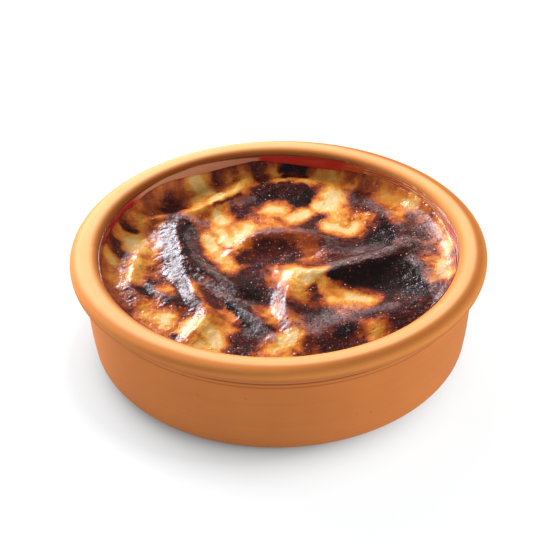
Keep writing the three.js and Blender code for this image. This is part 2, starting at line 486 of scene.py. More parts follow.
def makeTurningTree():
    # turns a section, given as points with radius in x and height in z, into a closed body
    inputs = ["Geometry", "Turns", "Out Of Round", "Rim Waver", "Finger Depth", "Finger Spacing"]
    inputs += ["Edge Height", "Edge Waver", "Inside Out", "Material"]
    tree, nodes, given, result = newGroup("turning", "GeometryNodeTree", inputs, ["Geometry"])
    minus, plus, times = nodes.minus, nodes.plus, nodes.times
    rings = nodes.add("GeometryNodeAttributeDomainSize", {"Geometry": given["Geometry"]})
    grid = nodes.add("GeometryNodeMeshGrid", {"Vertices X": plus(given["Turns"], 1), "Vertices Y": rings})
    index = nodes.add("GeometryNodeInputIndex")
    turn = nodes.math("FLOOR", nodes.math("DIVIDE", plus(index, 0.5), rings))
    angle = times(nodes.math("DIVIDE", turn, given["Turns"]), 2 * math.pi)
    section = nodes.add("GeometryNodeSampleIndex", {
        "Geometry": given["Geometry"],
        "Index": nodes.math("MODULO", index, rings),
        "Value": nodes.add("GeometryNodeInputPosition"),
    }, data_type="FLOAT_VECTOR")
    place = nodes.split(section.outputs["Value"])
    radius, height = place["X"], place["Z"]

    # slightly out of round, always inwards
    oval = minus(wave(nodes, angle, [(2, 0.6, 0.27), (3, 2.1, 0.135), (5, 4.0, 0.095)]), 0.5)
    shrink = times(oval, given["Out Of Round"], nodes.span(radius, 0.02, 0.045))

    # faint marks that fingers leave on the wall
    lift = times(nodes.math("SINE", angle), 0.25 * mm)
    climb = nodes.math("DIVIDE", plus(height, lift), given["Finger Spacing"])
    marks = minus(nodes.math("SINE", times(climb, 2 * math.pi)), 1.0)
    outside = nodes.math("GREATER_THAN", radius, (dish["footRadius"] - 1) * mm)
    onWall = times(outside, nodes.math("LESS_THAN", height, (dish["collarBottom"] - 0.6) * mm))
    marks = times(marks, onWall, given["Finger Depth"])

    # a rim that wavers up and down, and a glaze edge that wavers in and out
    rimWave = minus(wave(nodes, angle, [(2, 3.3, 0.3), (4, 1.0, 0.18)]), 0.48)
    rise = times(rimWave, given["Rim Waver"], nodes.span(height, 0.027, 0.029))
    belowEdge = 1.2 * mm
    nearEdge = minus(height, minus(given["Edge Height"], belowEdge))
    nearEdge = nodes.math("MAXIMUM", nodes.math("DIVIDE", nearEdge, belowEdge), 0.0)
    edgeWave = wave(nodes, angle, [(3, 1.0, 0.45), (7, 2.0, 0.3), (13, 0.0, 0.2), (22, 0.7, 0.12)])
    edgeWave = times(edgeWave, given["Edge Waver"], nodes.math("MINIMUM", nearEdge, 1.0))
    radius = plus(plus(radius, shrink), plus(marks, edgeWave))
    height = plus(plus(height, rise), times(edgeWave, 0.6))

    x = times(radius, nodes.math("COSINE", angle))
    y = times(radius, nodes.math("SINE", angle))
    around = nodes.vector(x, y, height)
    shaped = nodes.add("GeometryNodeSetPosition", {"Geometry": grid, "Position": around})
    joined = nodes.add("GeometryNodeMergeByDistance", {"Geometry": shaped, "Distance": 1e-7})
    flipped = nodes.add("GeometryNodeFlipFaces", {"Mesh": joined, "Selection": given["Inside Out"]})
    smoothed = nodes.add("GeometryNodeSetShadeSmooth", {"Geometry": flipped})
    real = nodes.add("GeometryNodeRealizeInstances", {"Geometry": smoothed})
    done = nodes.add("GeometryNodeSetMaterial", {"Geometry": real, "Material": given["Material"]})
    nodes.put(result["Geometry"], done)
    return tree


turningTree = makeTurningTree()


def turnedPiece(name, section, material, values):
    piece = meshPiece(name, [(radius, 0, height) for radius, height in section], [], material)
    return grown(piece, turningTree, {
        "Turns": dish["turns"],
        "Out Of Round": dish["outOfRound"] * mm,
        "Rim Waver": dish["rimWaver"] * mm,
        "Finger Spacing": dish["fingerSpacing"] * mm,
        "Material": material,
        **values,
    })


clay = {
    "wall": [(0.3, (0.55, 0.173, 0.04)), (0.7, (0.59, 0.192, 0.047))],
    "rimTop": [(0.3, (0.69, 0.37, 0.15)), (0.7, (0.73, 0.405, 0.175))],
    "rimSide": (0.6, 0.208, 0.05, 1),
    "rimUnderShade": (0.26, 0.07, 0.012, 1),
    "rimFrontLight": (0.8, 0.3, 0.07, 1),
    "rimRingShade": (0.38, 0.105, 0.02, 1),
    "creaseShade": (0.2, 0.045, 0.008, 1),
    "stainAndShade": (0.2, 0.06, 0.016, 1),
    "backSlopeShade": (0.24, 0.055, 0.008, 1),
    "speck": (0.2, 0.07, 0.03, 1),
    # painted shade: dark lines in the creases where the rolled rim and its collar meet the wall: height,
    # reach, strength
    "creaseShades": [(0.02835, 0.0006, 0.95), (0.0262, 0.0006, 1.0), (0.0248, 0.0004, 0.5)],
}


def makeTerracotta():
    # unglazed clay: paler on top of the rim, partly burnished and partly a painted highlight, deeper and
    # redder on the wall, brown next to the glaze, partly stain and partly painted shade, with painted shade
    # under the roll, round its pale top and in its creases, and a painted band of light on its front
    material, nodes = newMaterial("terracottaClay")
    mix, span, times = nodes.mix, nodes.span, nodes.times
    grain = addGrain(nodes, 1500.0, 520.0, 0.012, 1.2)
    place = nodes.split(nodes.place())
    x, y, z = place["X"], place["Y"], place["Z"]
    radius = nodes.measure("LENGTH", nodes.vector(x, y))
    wall = nodes.ramp(grain["Mottle"], clay["wall"])
    side = mix(span(z, 0.0275, 0.0290), wall, clay["rimSide"])
    # painted shade on the lower part of the roll, which faces down
    under = times(span(z, 0.0278, 0.0286), span(z, 0.0300, 0.0312, 0.45, 0.0))
    side = mix(under, side, clay["rimUnderShade"])
    # a painted band of light along the front of the roll, and painted shade as a browner band round the
    # outside of its pale top
    front = times(span(z, 0.0308, 0.0318), span(x, -0.03, 0.0, 0.0, 0.65))
    side = mix(front, side, clay["rimFrontLight"])
    # painted shade round the outside of the roll's pale top, stronger on the right
    ring = times(span(radius, 0.0584, 0.0592), span(radius, 0.0618, 0.0606))
    ring = times(ring, span(z, 0.0320, 0.0326), span(x, -0.03, 0.02, 0.15, 0.75))
    side = mix(ring, side, clay["rimRingShade"])
    # paler on top of the roll only, partly burnished clay and partly a painted highlight, and a little
    # further out at the back on the left, where the painted light comes from
    backLeft = nodes.measure("DOT_PRODUCT", nodes.place(), (-0.87, 0.5, 0))
    outward = nodes.plus(radius, span(backLeft, 0.0, 0.04, 0.0, -0.0018))
    paleAndLitTop = times(span(outward, 0.0597, 0.0582), span(radius, 0.0553, 0.0567))
    paleAndLitTop = times(paleAndLitTop, span(z, 0.0315, 0.0325))
    colour = mix(paleAndLitTop, side, nodes.ramp(grain["Mottle"], clay["rimTop"]))
    # faint level lines from the turning
    streaks = nodes.add("ShaderNodeMapping", {"Vector": nodes.place(), "Scale": (12.0, 12.0, 700.0)})
    turning = nodes.cloud(streaks.outputs["Vector"], 1.0)
    shade = span(turning, 0.3, 0.7, 0.96, 1.03)
    grey = nodes.ramp(shade, [(0.0, (0.0, 0.0, 0.0)), (1.0, (1.0, 1.0, 1.0))])
    colour = mix(1.0, colour, grey, "MULTIPLY")
    # painted shade in the creases
    for level, reach, strength in clay["creaseShades"]:
        line = span(nodes.apart(z, level), 0.0, reach, strength, 0.0)
        colour = mix(line, colour, clay["creaseShade"])
    inside = nodes.minus(radius, times(nodes.minus(grain["Mottle"], 0.5), 0.0006))
    # brown next to the glaze: partly a stain where the glaze bled, partly painted shade on the rim's inner
    # slope
    colour = mix(span(inside, 0.0543, 0.0556, 0.6, 0.0), colour, clay["stainAndShade"])
    # painted shade: the brown reaches further up the rim's inner slope at the back, which faces away from
    # the light
    angle = nodes.math("ARCTAN2", y, x)
    fromRight = span(angle, math.radians(55), math.radians(115))
    behind = times(fromRight, span(angle, math.radians(150), math.radians(178), 1.0, 0.3))
    reached = times(span(inside, 0.0550, 0.0573, 0.8, 0.0), behind)
    colour = mix(reached, colour, clay["backSlopeShade"])
    height = nodes.plus(grain["Height"], times(turning, 0.5))
    nodes.surface({
        "Base Color": mix(times(grain["Pits"], 0.25), colour, clay["speck"]),
        "Roughness": span(grain["Mottle"], 0.3, 0.7, 0.75, 0.88),
        "Normal": nodes.bump(height, 0.3, 0.0001),
        "Specular IOR Level": 0.3,
    })
    return material


glaze = {
    "pool": [(0.25, (0.42, 0.011, 0.016)), (0.75, (0.54, 0.016, 0.022))],
    "edge": (0.16, 0.035, 0.01, 1),
    "left": (0.2, 0.012, 0.014, 1),
    "front": (0.15, 0.008, 0.008, 1),
    "milk": (0.55, 0.26, 0.15, 1),
    "film": (0.5, 0.135, 0.028, 1),
    "thread": (0.85, 0.55, 0.3, 1),
}


def makeGlazeMaterial():
    # dark red glaze, brown at its very edge, with a dried smear of milk on the left at the back
    material, nodes = newMaterial("glaze")
    mix, span, times, timesPlus = nodes.mix, nodes.span, nodes.times, nodes.timesPlus
    grain = addGrain(nodes, 500.0, 260.0, 0.02, 1.0)
    place = nodes.split(nodes.place())
    y, z = place["Y"], place["Z"]
    uneven = span(grain["Mottle"], 0.3, 0.7, -1.0, 1.0)
    angle = timesPlus(uneven, 0.03, nodes.math("ARCTAN2", y, place["X"]))
    edge = span(timesPlus(uneven, 0.0002, z), 0.0313, 0.0320)
    colour = mix(edge, nodes.ramp(grain["Mottle"], glaze["pool"]), glaze["edge"])
    # darker on the left, and painted darker at the front, where light falls straight on it
    leftward = span(nodes.math("ABSOLUTE", angle), math.radians(146), math.radians(154), 0.0, 0.5)
    colour = mix(leftward, colour, glaze["left"])
    frontward = span(y, -0.012, -0.035, 0.0, 0.85)
    colour = mix(frontward, colour, glaze["front"])
    # the smear hangs from a line that rises towards its middle
    start = span(angle, math.radians(97), math.radians(99))
    end = span(angle, math.radians(143), math.radians(148), 1.0, 0.0)
    top = timesPlus(nodes.apart(angle, math.radians(125)), -0.0026, 0.0326)
    below = span(nodes.minus(top, z), 0.0, 0.0003)
    smear = times(start, end, times(below, 0.85))
    colour = mix(smear, colour, glaze["milk"])
    # a golden film with pale wavy threads, dried on the right at the back
    start = span(angle, math.radians(8), math.radians(16))
    gilded = times(start, span(angle, math.radians(54), math.radians(68), 1.0, 0.0))
    colour = mix(times(gilded, 0.75), colour, glaze["film"])
    sheet = nodes.vector(times(angle, 5.0), times(z, 1300.0))
    offThread = nodes.apart(nodes.cloud(sheet, 1.0, 1.0), 0.5)
    thread = times(span(offThread, 0.0, 0.04, 0.8, 0.0), gilded)
    nodes.surface({
        "Base Color": mix(thread, colour, glaze["thread"]),
        "Roughness": timesPlus(smear, 0.25, 0.12),
        "Normal": nodes.bump(grain["Height"], 0.12, 0.0001),
        "Coat Weight": 0.8,
        "Coat Roughness": 0.08,
    })
    return material


def makeDish():
    values = {"Finger Depth": dish["fingerDepth"] * mm, "Edge Height": 1.0}
    piece = turnedPiece("terracottaDish", dishSection(), makeTerracotta(), values)
    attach(piece, "root")
    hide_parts("dish")


def glazeSection():
    # a thin coat: up its inner face, over a rounded edge, down just inside the clay and back to its start
    thick, top, inClay = dish["glazeThickness"], dish["glazeEdge"], 0.4
    inRoll = math.degrees(math.asin((top - dish["rollHeight"]) / dish["rollHalfHeight"]))
    heights = np.linspace(dish["glazeFoot"], dish["rollHeight"], 24, endpoint=False)
    wall = np.stack([cavityRadius(heights) - thick, heights], 1)
    middle = dish["rollRadius"], dish["rollHeight"]
    roll = dish["rollHalfWidth"] + thick, dish["rollHalfHeight"] + thick * 0.6
    over = arc(*middle, *roll, 180, 180 - inRoll, 10, dish["rollFullness"])
    lip = over[-1] + np.array([(0.1, 0.06), (0.24, 0.03), (0.42, -0.2)])
    roll = dish["rollHalfWidth"] - inClay, dish["rollHalfHeight"] - inClay
    behind = arc(*middle, *roll, 180 - inRoll, 180, 6, dish["rollFullness"])
    down = np.stack([cavityRadius(heights[::-1]) + inClay, heights[::-1]], 1)
    return np.vstack([wall, over, lip, behind, down, wall[:1]])


def glazeFace(z):
    # radius of the glaze's inner face: up the wall, then round the roll
    thick = dish["glazeThickness"]
    up = np.clip((z - dish["rollHeight"]) / (dish["rollHalfHeight"] + thick * 0.6), 0, 1)
    roll = dish["rollRadius"] - (dish["rollHalfWidth"] + thick) * np.sqrt(1 - up**2)
    return np.where(z < dish["rollHeight"], cavityRadius(z) - thick, roll)


def makeGlaze():
    values = {"Edge Height": dish["glazeEdge"] * mm, "Edge Waver": dish["glazeEdgeWaver"] * mm}
    values["Inside Out"] = True
    piece = turnedPiece("glaze", glazeSection(), makeGlazeMaterial(), values)
    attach(piece, "root")


makeDish()
makeGlaze()
print("dish and glaze")

skin = {
    "level": rimTop - 8.3,
    "steps": 289,
    "flankFall": 1.6,
    "blend": 4,
    "foldEnd": 0.6,
    "strandHeight": 0.16,
    "edgeClimb": 3.9,
    "edgeReach": 1.7,
    "intoGlaze": 0.1,
    "sideInGlaze": 0.12,
    # height, width of the left and right flank, x and y of the points of the crest
    "folds": [
        (3.2, 4.2, 5.5, -29, 27, -31, 19, -30, 9, -27, -1, -18, -10, -10, -15),
        (2.9, 4, 3.2, -30, 2, -27, -8, -24, -18, -21, -27, -25, -36),
        (1.7, 7, 2.8, -24, -10, -16, -18, -8, -27, -2, -36),
        (2.3, 3, 3.2, -42.5, 7, -43.5, -2, -43.5, -11, -40, -18),
        (1.4, 5.5, 2.4, -40, -8, -35, -15, -29, -21),
        (3.6, 4.4, 6.5, 40, 6, 31, 0, 22, -5, 13, -7.5, 5, -6.5),
        (3.1, 5, 3.4, 5, -6.5, 3.5, -14, 2, -23, 3, -31, 6, -38),
        (2.6, 6.5, 8, 40, 6, 42, -4, 46, -13, 42, -23, 33, -29, 9, -37),
        (2.8, 4.6, 4, -13, 7, -8, 12, 0, 14, 8, 13, 14, 9, 17, 4),
        (2.4, 4, 3, -46, 21, -37, 25, -28, 27, -21, 32, -15, 38, -10, 46),
        (1.5, 3, 8, -8, 44, 0, 46.5, 10, 46, 17, 43),
        (2.4, 4.5, 9, 23, 27, 30, 26, 36, 21, 39, 13, 40, 6),
    ],
    # x, y, reach, depth
    "hollows": [
        (29, -14, 9, 1.1), (0, 4, 8, 1), (-18, 9, 7, 0.8), (-6, -20, 6, 0.7), (12, -27, 6, 0.6),
        (-36, -1, 5, 0.7), (-35, 34, 7, 0.7),
    ],
    # direction and spread in degrees, extra height
    "climbs": [(38, 20, 0.9), (74, 12, -1.2), (97, 9, 1.1), (136, 12, 2.2), (160, 10, 0.6), (270, 45, -0.9)],
    # cell and height of the lumps that rice and thick cream make under the skin
    "lumps": [(8, 0.42), (3.4, 0.2), (1.3, 0.07)],
    # thin wrinkled film against the wall: middle and spread in degrees, height, width of a wrinkle, reach
    "wrinkles": (24, 34, 0.13, 1.5, 4),
}

# How brown the skin is, from 0 for pale cream to 1 for burnt black. Each mark is a half-width, then x and
# y of the points of a line or of one point. Under and over layers have a brownness and the width of their
# soft edge, pale layers the brownness at their heart and how fast it browns outwards, per millimetre.
browning = {
    "start": 0.74,
    "mottle": 0.14,
    "patchy": 0.65,
    "fineMottle": 0.07,
    "blend": 0.07,
    "unevenFall": 0.6,
    "warp": 1.6,
    "fineWarp": 0.25,
    "under": {
        "russet": (0.62, 2.6, [
            (2.5, -43, 33, -39, 30), (3.4, -33, 43, -27, 36), (2.2, -28.5, 46, -27, 37),
            (3, -15, 48, -16, 43), (3, 8, 8, 12, 5), (3, -52, -4, -48, -14), (3, -34, -34, -28, -38),
            (3, -3, -6), (3.5, 24, 44, 27, 40), (3.6, 34, 38, 42, 30, 47, 22), (3, 46, -3, 46.5, -9),
            (3, -5, -21, -4, -27), (2.5, 11, -19), (3, -38, 1, -38.5, -5), (3, -41, 16, -41, 4),
            (4, -20, -24, -20, -30),
        ]),
        "dark": (0.86, 2.4, [
            (2.4, -35, 35, -33, 31), (3, -13, 29, -12.5, 23.5), (2.6, -9, 33, -3, 27),
            (5.5, -8, 3, -7, -6, -6, -15), (4.5, -2, 6, 2, 3), (3.2, 11, 25, 12, 18), (4, 26, 36, 29, 29),
            (5, 18, 9, 26, 4), (3.2, -40, -9, -32, -20), (3.4, 9.5, -12, 10, -16), (4, -12, -33, -10, -41),
            (3, 14, -41, 18, -41), (6, 33, -17, 40, -22), (4, 31, -31, 40, -27), (5, 16, -26, 9, -30),
            (4.5, 43, 14, 44, 6), (3.4, 48.4, 16, 49, 6), (3, 5, -24, 7, -29), (3, 24, -26, 31, -26),
            (2.6, 15, -5, 25, -2, 36, 2.5), (2, 40, 1, 43, -7, 45, -16),
        ]),
        "black": (0.99, 1.8, [
            (2.6, -26.5, 3, -21, -7, -14, -13), (2.6, -12, -10, -8, -16), (5.5, -3, 40, 7, 40),
            (4, 0, 35.5, 7, 35.5), (3, 1, 6, 0, 3), (4.2, 29, 20, 32, 15, 32, 10), (3, -39, -12, -33, -19),
            (4, 20, -10.5, 28, -8, 36, -3.6), (4, 31, -12, 38, -9, 40.5, -14), (1.6, 17, -36, 21, -33),
        ]),
    },
    "pale": {
        "amber": (0.44, 0.1, [
            (0.8, -42, 36, -36, 42, -31, 46), (1, -15, 47, -15, 43), (2, -27, 28, -22.5, 27),
            (2.4, -19, 22, -11, 12), (2.6, -6, 22, -2, 26, 1, 22), (2.4, 18, 49, 18.3, 42),
            (1.5, 36.5, 33, 38, 27, 38.4, 22), (1.2, 38, 34, 43, 28), (2, -40, 13, -40, 3),
            (1.6, -49, 1, -48.5, -8), (2.4, -39, -21, -37, -27, -33, -32), (0.5, -24.4, -13, -23.4, -19),
            (2.8, -17, -26, -16.5, -31), (1.4, -31, -37, -26, -39), (0.9, -3, -25, -2.4, -32),
            (0.8, 4.4, -30, 5.4, -35), (1.6, 11, -9, 15, -13.5, 17.5, -17), (1.2, 20, -21.6, 22, -21.6),
            (1.6, 27, -35.2), (1.6, 47.6, 0, 47.4, -11), (0.8, 50.4, 8, 50.8, 3), (0.6, 9.6, 3.4),
            (1, -44.5, 28, -44, 24), (1.6, -4, -42.5, 3, -43), (0.5, -13, 6.6, -10, 10.6),
            (0.6, -32.4, -12.6), (1.2, 26, 23, 25.5, 18), (1.4, -20, -25, -19, -29),
            (0.8, -28, 41, -27, 47), (1.2, 14, 47, 24, 45), (1, 0, -3, 0, -9), (0.7, -37.4, 25, -37, 22),
            (1, 33, 44, 40, 37), (1.2, 37, 35, 43, 30, 46, 24), (0.5, 49.4, 19, 50.4, 13),
        ]),
        "gold": (0.25, 0.135, [
            (2.6, -46, 15, -43, 9), (0.5, -42.4, 25, -43, 21), (0.9, -52.4, 4.6, -50, 2),
            (1, -25, 38, -25.5, 29), (1, -16.5, 38, -12.4, 42, -11, 47), (1.4, -18.4, 6, -15.6, -0.5),
            (1, 19.6, 28, 20, 22), (0.9, 34, 37, 38.5, 33), (0.9, 41, 31, 44, 28), (0.8, 0, 50.5),
            (0.8, 1, 47, 7, 46.4, 15, 48.6), (0.8, -43.6, 4, -43, -3, -43.6, -8),
            (0.8, -39.4, -21.6, -38.6, -24), (1.4, -33.4, -25.6, -33, -29.6),
            (1.8, -22.5, -31, -19.5, -35), (1.4, -24, -39.4, -19, -41.5), (1, -3, -41.5, 3, -40.5),
            (1.6, 3, -6, 8, -8.5, 6, -10), (1, 4.4, -10, 5, -16), (1.2, 16, -18.4, 26, -18.4),
            (0.8, 27, -35.2), (0.5, -2.4, -30), (1.2, 48.8, -1, 48.4, -10.5), (0.6, 51.6, 8, 51.8, 3),
            (0.8, -20, 20, -10, 18), (1.6, 18, 48, 18.3, 43),
        ]),
        "yellow": (0.12, 0.15, [
            (1.5, 4.2, -8.4, 8.4, -10.2), (1.6, -46, 13, -43.4, 10), (1.6, -26.4, 44.4, -23.6, 41.4),
        ]),
        "cream": (0.04, 0.19, [
            (1, -18.6, 38.2, -20, 33.4), (1, -18.8, 27.6, -18.5, 24), (0.8, -18.2, 19, -15.4, 13.4),
            (1.1, -22, 16, -20.6, 10), (0.9, -9.8, 21, -10.6, 15), (1.2, -2, 30.8, 0.6, 30.6),
            (1.2, 4.6, 25.2, 8.6, 28.6), (1.9, 18, 39, 17.6, 34, 16.6, 30.6), (1.4, 13.8, 32.4),
            (0.8, 16, 19.8, 19, 17.2, 22.5, 17, 24.6, 20), (0.5, 51.8, 7, 51.8, 4),
            (1, 49, -1.4, 49, -6, 48.6, -10), (0.5, 4, -5.4, 8, -6.8, 12, -8.4),
            (1, 20.4, -17.6, 26, -18.4), (1.1, 0.4, -39.4, 3.6, -37.6), (1, -18.4, -35, -18, -39.4),
            (0.6, -33.2, -26, -33, -28), (0.8, -25.5, -29, -27, -33),
        ]),
    },
    "over": {
        "burnt": (0.88, 1.6, [
            (1.6, -30, 22.5, -27, 15, -25.5, 6, -21.5, -3, -16, -12, -12, -20, -8, -28, -4, -34),
            (1.7, -34, 21, -34, 12, -32, 2, -30, -7, -27.4, -16, -25, -22), (2.6, -6, 42.4, 8, 41.6),
            (1.5, -27.5, -3, -24, -9),
        ]),
        "dark": (0.82, 1.0, [
            (1.2, -48, 18.8, -45, 18.4), (1.3, -50.5, 12, -48.5, 7), (1.9, -20.4, -13, -18.6, -22),
            (1.8, 42, 22.8), (1.6, 9.6, -13), (1.2, 3, 49.4, 9, 49.8), (3.6, -8, 3.4, -3, 7, 2, 7.4),
            (0.5, -19.5, 31.5, -16, 35, -12.5, 38.5), (1.2, -29.6, -35.4),
        ]),
        "black": (1.0, 1.0, [
            (1.3, -28.5, 20, -29.2, 14, -28.6, 8), (1.1, 16.4, -8.6, 24, -7, 31, -4, 37, -0.4),
            (1, 38, -1, 40.6, -7, 42.4, -13, 42.6, -19), (0.8, -15, -19.6, -10.6, -27, -5.4, -35),
            (1.2, 2.6, 52.4, 9, 52.4), (1.2, 9.6, 35, 9.4, 40),
        ]),
    },
}

# Where a dry grey film dulls the skin, its grey painted as a sheen of the bright back of the studio:
# strength, half-width, and x and y of the points of a line
sheenFilms = [
    (0.9, 1.8, -34, 23.4, -29, 25, -23, 22.6), (0.7, 1.8, -26.6, 19, -26.4, 9, -23, 0, -18, -8, -14, -15),
    (1, 1.5, -25, -9, -20, -13, -16, -17, -12, -21.5, -9, -27, -5, -33, -1, -37),
    (0.6, 1.6, -34, 20, -34, 11, -32, 1, -30, -8, -27, -17, -25, -22),
    (0.8, 1.2, -41, -9, -37, -13, -33, -18), (0.9, 2.6, -9, 15, 1, 17, 10, 16), (0.6, 2, 16, 12, 17, 5),
    (1, 2.2, 15, -5, 24, -1.4, 34, 3.4), (1.2, 0.5, 15, -6.6, 23, -4, 31, -0.4, 37.4, 3),
    (0.6, 2.6, 20, 5, 30, 7), (1, 4.2, 39, 8, 44, 7, 45, 15, 41, 18), (1.3, 2.2, 42, 27, 47, 18, 49.6, 11),
    (0.9, 1.8, 50.4, 8, 50.8, 0, 49, -11), (1.2, 1.9, 39.6, 1, 42, -4, 44.4, -9, 46, -15, 46, -21),
    (0.9, 4.4, 8, -33, 12, -28, 21, -26), (0.8, 2.6, 25, -26, 33, -23), (0.9, 2.6, 29, 34, 32, 29, 35, 24),
    (0.6, 2.2, 23, 39, 24, 32), (0.7, 1.6, -14, 34, -8, 37), (0.7, 2, -13, -20, -8, -21),
    (0.6, 1.6, -38, 27.6, -31, 27), (0.12, 3, 34, -14, 40, -20), (0.5, 2, -9, -33, -4, -37),
    (0.6, 1.4, 1, -10, -0.6, -20, 1, -28, 3, -34),
]


def climbAt(angle):
    rise = np.full(angle.shape, skin["edgeClimb"])
    for direction, spread, extra in skin["climbs"]:
        turn = (np.degrees(angle) - direction + 180) % 360 - 180
        rise += extra * np.exp(-((turn / spread) ** 2))
    return rise


def foldedSkin(x, y):
    # height of the skin, and the strands that run along its crests
    total = np.zeros(x.shape)
    streak = np.zeros(x.shape)
    for number, (height, left, right, *crest) in enumerate(skin["folds"]):
        distance, side, along = nearLine(curveThrough(crest), x, y)
        width = right + (left - right) * (side + 1) / 2
        crestHeight = height * (skin["foldEnd"] + (1 - skin["foldEnd"]) * np.sin(math.pi * along))
        rise = crestHeight / np.cosh(np.minimum(skin["flankFall"] * distance / width, 30))
        total += rise ** skin["blend"]
        across = distance * np.sign(side) + 40
        lines = noise(across, along * 30 + 7 * number, 0.55, 50 + number) - 0.5
        lines += noise(across, along * 12 + 7 * number, 1.3, 80 + number) - 0.5
        streak += lines * np.exp(-((distance / 5) ** 2)) * smooth(distance, 0.2, 1.2)
    height = skin["level"] + total ** (1 / skin["blend"])
    for hollowX, hollowY, reach, depth in skin["hollows"]:
        height -= depth * np.exp(-((x - hollowX) ** 2 + (y - hollowY) ** 2) / reach**2)
    return height, streak


def skinShape(x, y):
    height, streak = foldedSkin(x, y)
    for number, (cell, rise) in enumerate(skin["lumps"]):
        height += rise * ripple(x, y, cell, 10 + 3 * number)
    height += skin["strandHeight"] * streak
    fromWall = np.maximum(puddingRadius - np.hypot(x, y), 0)
    angle = np.arctan2(y, x)
    height += climbAt(angle) * np.exp(-fromWall / skin["edgeReach"])
    middle, spread, size, width, reach = skin["wrinkles"]
    crinkled = np.exp(-(((np.degrees(angle) - middle + 180) % 360 - 180) / spread) ** 2)
    wrinkles = np.sin(2 * math.pi * (fromWall + 1.2 * ripple(x, y, 5, 31)) / width)
    height += size * wrinkles * crinkled * np.exp(-((fromWall / reach) ** 2))
    return height, streak


def brownness(x, y):
    warp, fineWarp = browning["warp"], browning["fineWarp"]
    warpedX = x + warp * ripple(x, y, 4.5, 41) + fineWarp * ripple(x, y, 1.4, 43)
    warpedY = y + warp * ripple(x, y, 4.5, 45) + fineWarp * ripple(x, y, 1.4, 47)
    brown = browning["start"] + browning["mottle"] * ripple(x, y, 6, 49)

    def marksOf(layer):
        for *numbers, marks in browning[layer].values():
            for half, *line in marks:
                yield *numbers, half, nearLine(curveThrough(line), warpedX, warpedY)[0]

    for level, soft, half, distance in marksOf("under"):
        brown += (level - brown) * (1 - smooth(distance, half - 0.5 * soft, half + soft))
    blend = browning["blend"]
    unevenness = 1 + browning["unevenFall"] * ripple(x, y, 7, 71)
    patches = ripple(x, y, 3.6, 75)
    for level, fall, half, distance in marksOf("pale"):
        outwards = fall * unevenness * np.maximum(distance - half, 0)
        heat = level + browning["patchy"] * level * patches + outwards
        gap = np.clip(0.5 + 0.5 * (brown - heat) / blend, 0, 1)
        brown = brown + (heat - brown) * gap - blend * gap * (1 - gap)
    for level, soft, half, distance in marksOf("over"):
        brown += (level - brown) * (1 - smooth(distance, half - 0.5 * soft, half + soft))
    return brown + browning["fineMottle"] * ripple(x, y, 2.2, 73)


def sheenFilmCover(x, y):
    warp = 1.4
    warpedX = x + warp * ripple(x, y, 3.2, 61)
    warpedY = y + warp * ripple(x, y, 3.2, 63)
    cover = np.zeros(x.shape)
    for strength, half, *line in sheenFilms:
        distance = nearLine(curveThrough(line), warpedX, warpedY)[0]
        cover = np.maximum(cover, strength * (1 - smooth(distance / half, 0.5, 1.4)))
    return cover


def discGrid(steps):
    # an even grid of squares bent into a disc of radius 1, with its border points in order
    side = np.linspace(-1, 1, steps)
    a, b = np.meshgrid(side, side)
    wide = np.abs(a) > np.abs(b)
    safeA, safeB = np.where(a == 0, 1, a), np.where(b == 0, 1, b)
    angle = np.where(wide, math.pi / 4 * b / safeA, math.pi / 2 - math.pi / 4 * a / safeB)
    radius = np.where(wide, a, b)
    x, y = radius * np.cos(angle), radius * np.sin(angle)
    index = np.arange(steps * steps).reshape(steps, steps)
    corners = [index[:-1, :-1], index[:-1, 1:], index[1:, 1:], index[1:, :-1]]
    faces = np.stack(corners, -1).reshape(-1, 4).tolist()
    border = np.concatenate([index[0, :-1], index[:-1, -1], index[-1, :0:-1], index[:0:-1, 0]])
    return x.ravel(), y.ravel(), faces, border


crust = {
    # brownness and the colour that it bakes to
    "tones": [
        (0.03, (0.70, 0.47, 0.23)),
        (0.14, (0.71, 0.42, 0.12)),
        (0.27, (0.64, 0.27, 0.04)),
        (0.40, (0.58, 0.185, 0.026)),
        (0.52, (0.43, 0.095, 0.014)),
        (0.66, (0.23, 0.04, 0.012)),
        (0.75, (0.115, 0.018, 0.009)),
        (0.84, (0.045, 0.0085, 0.007)),
        (1.00, (0.009, 0.0045, 0.004)),
    ],
    # the grey of the film is a painted sheen
    "film": (0.29, 0.205, 0.2, 1),
    "pit": (0.008, 0.005, 0.005, 1),
}


